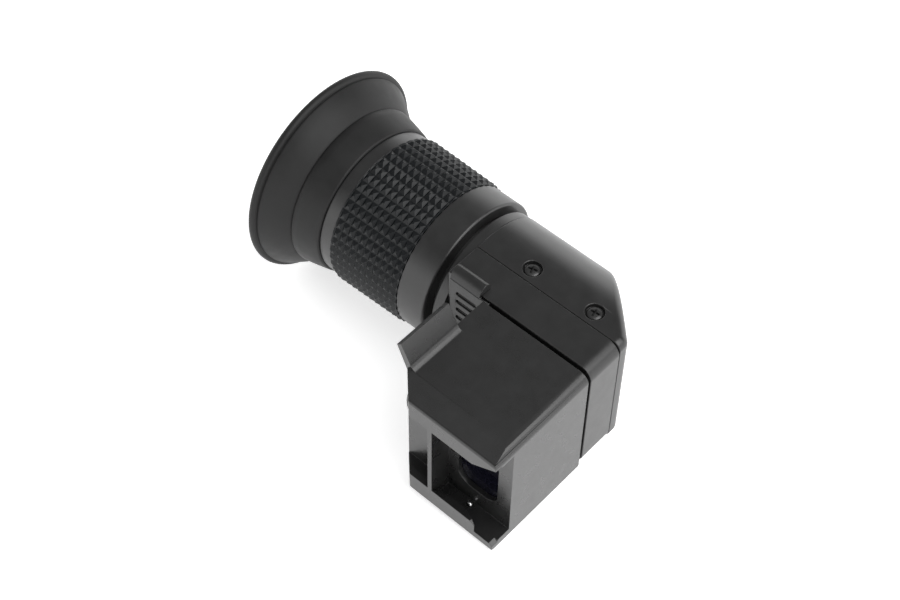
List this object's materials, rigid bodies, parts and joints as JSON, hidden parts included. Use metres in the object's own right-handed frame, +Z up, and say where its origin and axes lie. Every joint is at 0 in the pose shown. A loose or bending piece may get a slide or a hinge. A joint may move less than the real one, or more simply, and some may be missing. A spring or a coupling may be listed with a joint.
{
  "type": "right-angle viewfinder attachment",
  "caption": "Right-angle camera viewfinder attachment: slide-on shoe, swivelling prism housing, knurled dioptre ring and flared rubber eyecup.",
  "frame": {"origin": "centre of the camera shoe's seat, on the optical axis of its window", "axes": "-Y is the way the window looks, -X is the way the eyepiece points, +Z is up; a camera's eyepiece frame slides in along -X and leaves along +X"},
  "size_m": [0.0747, 0.0577, 0.043],
  "materials": {
    "black_abs": "fine-textured black ABS, semi-matte, slightly shiny on worn edges",
    "shoe_abs": "fine-textured black ABS, semi-matte",
    "knob_plastic": "black moulded plastic",
    "anodised_black": "black anodised aluminium, satin",
    "optical_black": "matte black inside paint",
    "grip_rubber": "black rubber, slightly shiny on the points",
    "eyecup_rubber": "matte black soft rubber",
    "screw_steel": "black oxide steel",
    "spring_steel": "bright spring steel",
    "brass": "turned brass",
    "optical_glass": "coated optical glass",
    "window": "dark coated window glass"
  },
  "bodies": {
    "housing": {"main_housing": "black_abs", "prism_cover": "black_abs", "cover_screws": "screw_steel", "prism_bracket": "anodised_black", "bracket_screws": "screw_steel", "roof_prism": "optical_glass", "prism_strap": "spring_steel", "eyepiece_neck": "anodised_black", "neck_nut": "brass", "ring_keeper": "brass", "swivel_spigot": "anodised_black", "fixed_objective_lens": "optical_glass", "objective_lock_ring": "optical_black", "carrier_guide_pin": "screw_steel", "swivel_ring": "brass"},
    "shoe": {"shoe_casing": "shoe_abs", "shoe_back_plate": "shoe_abs", "back_plate_screws": "screw_steel", "friction_washer": "spring_steel", "click_leaf": "spring_steel", "window_glass": "window", "window_frame": "optical_black", "detent_spring": "spring_steel"},
    "lever": {"magnification_lever": "knob_plastic"},
    "objective": {"objective_carrier": "brass", "carrier_lens": "optical_glass", "carrier_lock_ring": "optical_black"},
    "dioptre": {"dioptre_ring": "anodised_black", "grip_sleeve": "grip_rubber", "eyecup_retainer": "anodised_black", "eyecup": "eyecup_rubber"},
    "ocular": {"ocular_cell": "anodised_black", "cell_drive_pins": "brass", "eye_lens": "optical_glass", "lens_spacer": "optical_black", "field_lens": "optical_glass", "cell_lock_ring": "optical_black", "field_stop": "optical_black"},
    "knob": {"lock_knob": "knob_plastic", "knob_clip": "spring_steel"},
    "pawl": {"lock_pawl": "brass"},
    "ball": {"eyepiece_detent_ball": "spring_steel"}
  },
  "joints": [
    {"name": "shoe_swivel", "type": "hinge", "parent": "housing", "child": "shoe", "pos_m": [0, 0.018, 0], "axis": [0, 1, 0], "continuous": true},
    {"name": "magnification_swing", "type": "hinge", "parent": "housing", "child": "lever", "pos_m": [0, 0.0196, 0], "axis": [0, 1, 0], "range_deg": [0, 40]},
    {"name": "objective_slide", "type": "slide", "parent": "housing", "child": "objective", "axis": [0, 1, 0], "range_m": [0, 0.002]},
    {"name": "dioptre_turn", "type": "hinge", "parent": "housing", "child": "dioptre", "pos_m": [-0.04, 0.0317, 0], "axis": [-1, 0, 0], "range_deg": [-120, 120]},
    {"name": "ocular_slide", "type": "slide", "parent": "housing", "child": "ocular", "axis": [-1, 0, 0], "range_m": [-0.002, 0.002]},
    {"name": "lock_turn", "type": "hinge", "parent": "shoe", "child": "knob", "pos_m": [-0.0163, 0.0075, 0], "axis": [1, 0, 0], "range_deg": [0, 90]},
    {"name": "pawl_slide", "type": "slide", "parent": "shoe", "child": "pawl", "axis": [0, -1, 0], "range_m": [0, 0.0008]},
    {"name": "ball_press", "type": "slide", "parent": "shoe", "child": "ball", "axis": [0, 0, -1], "range_m": [0, 0.0004], "stiffness_N_per_m": 150, "springref_m": -0.001, "deforming": ["detent_spring"]}
  ],
  "couplings": [
    {"joint": "magnification_swing", "follows": "objective_slide", "rad_per_m": 349.06},
    {"joint": "dioptre_turn", "follows": "ocular_slide", "rad_per_m": 1047.2},
    {"joint": "lock_turn", "follows": "pawl_slide", "rad_per_m": 1963.5}
  ]
}
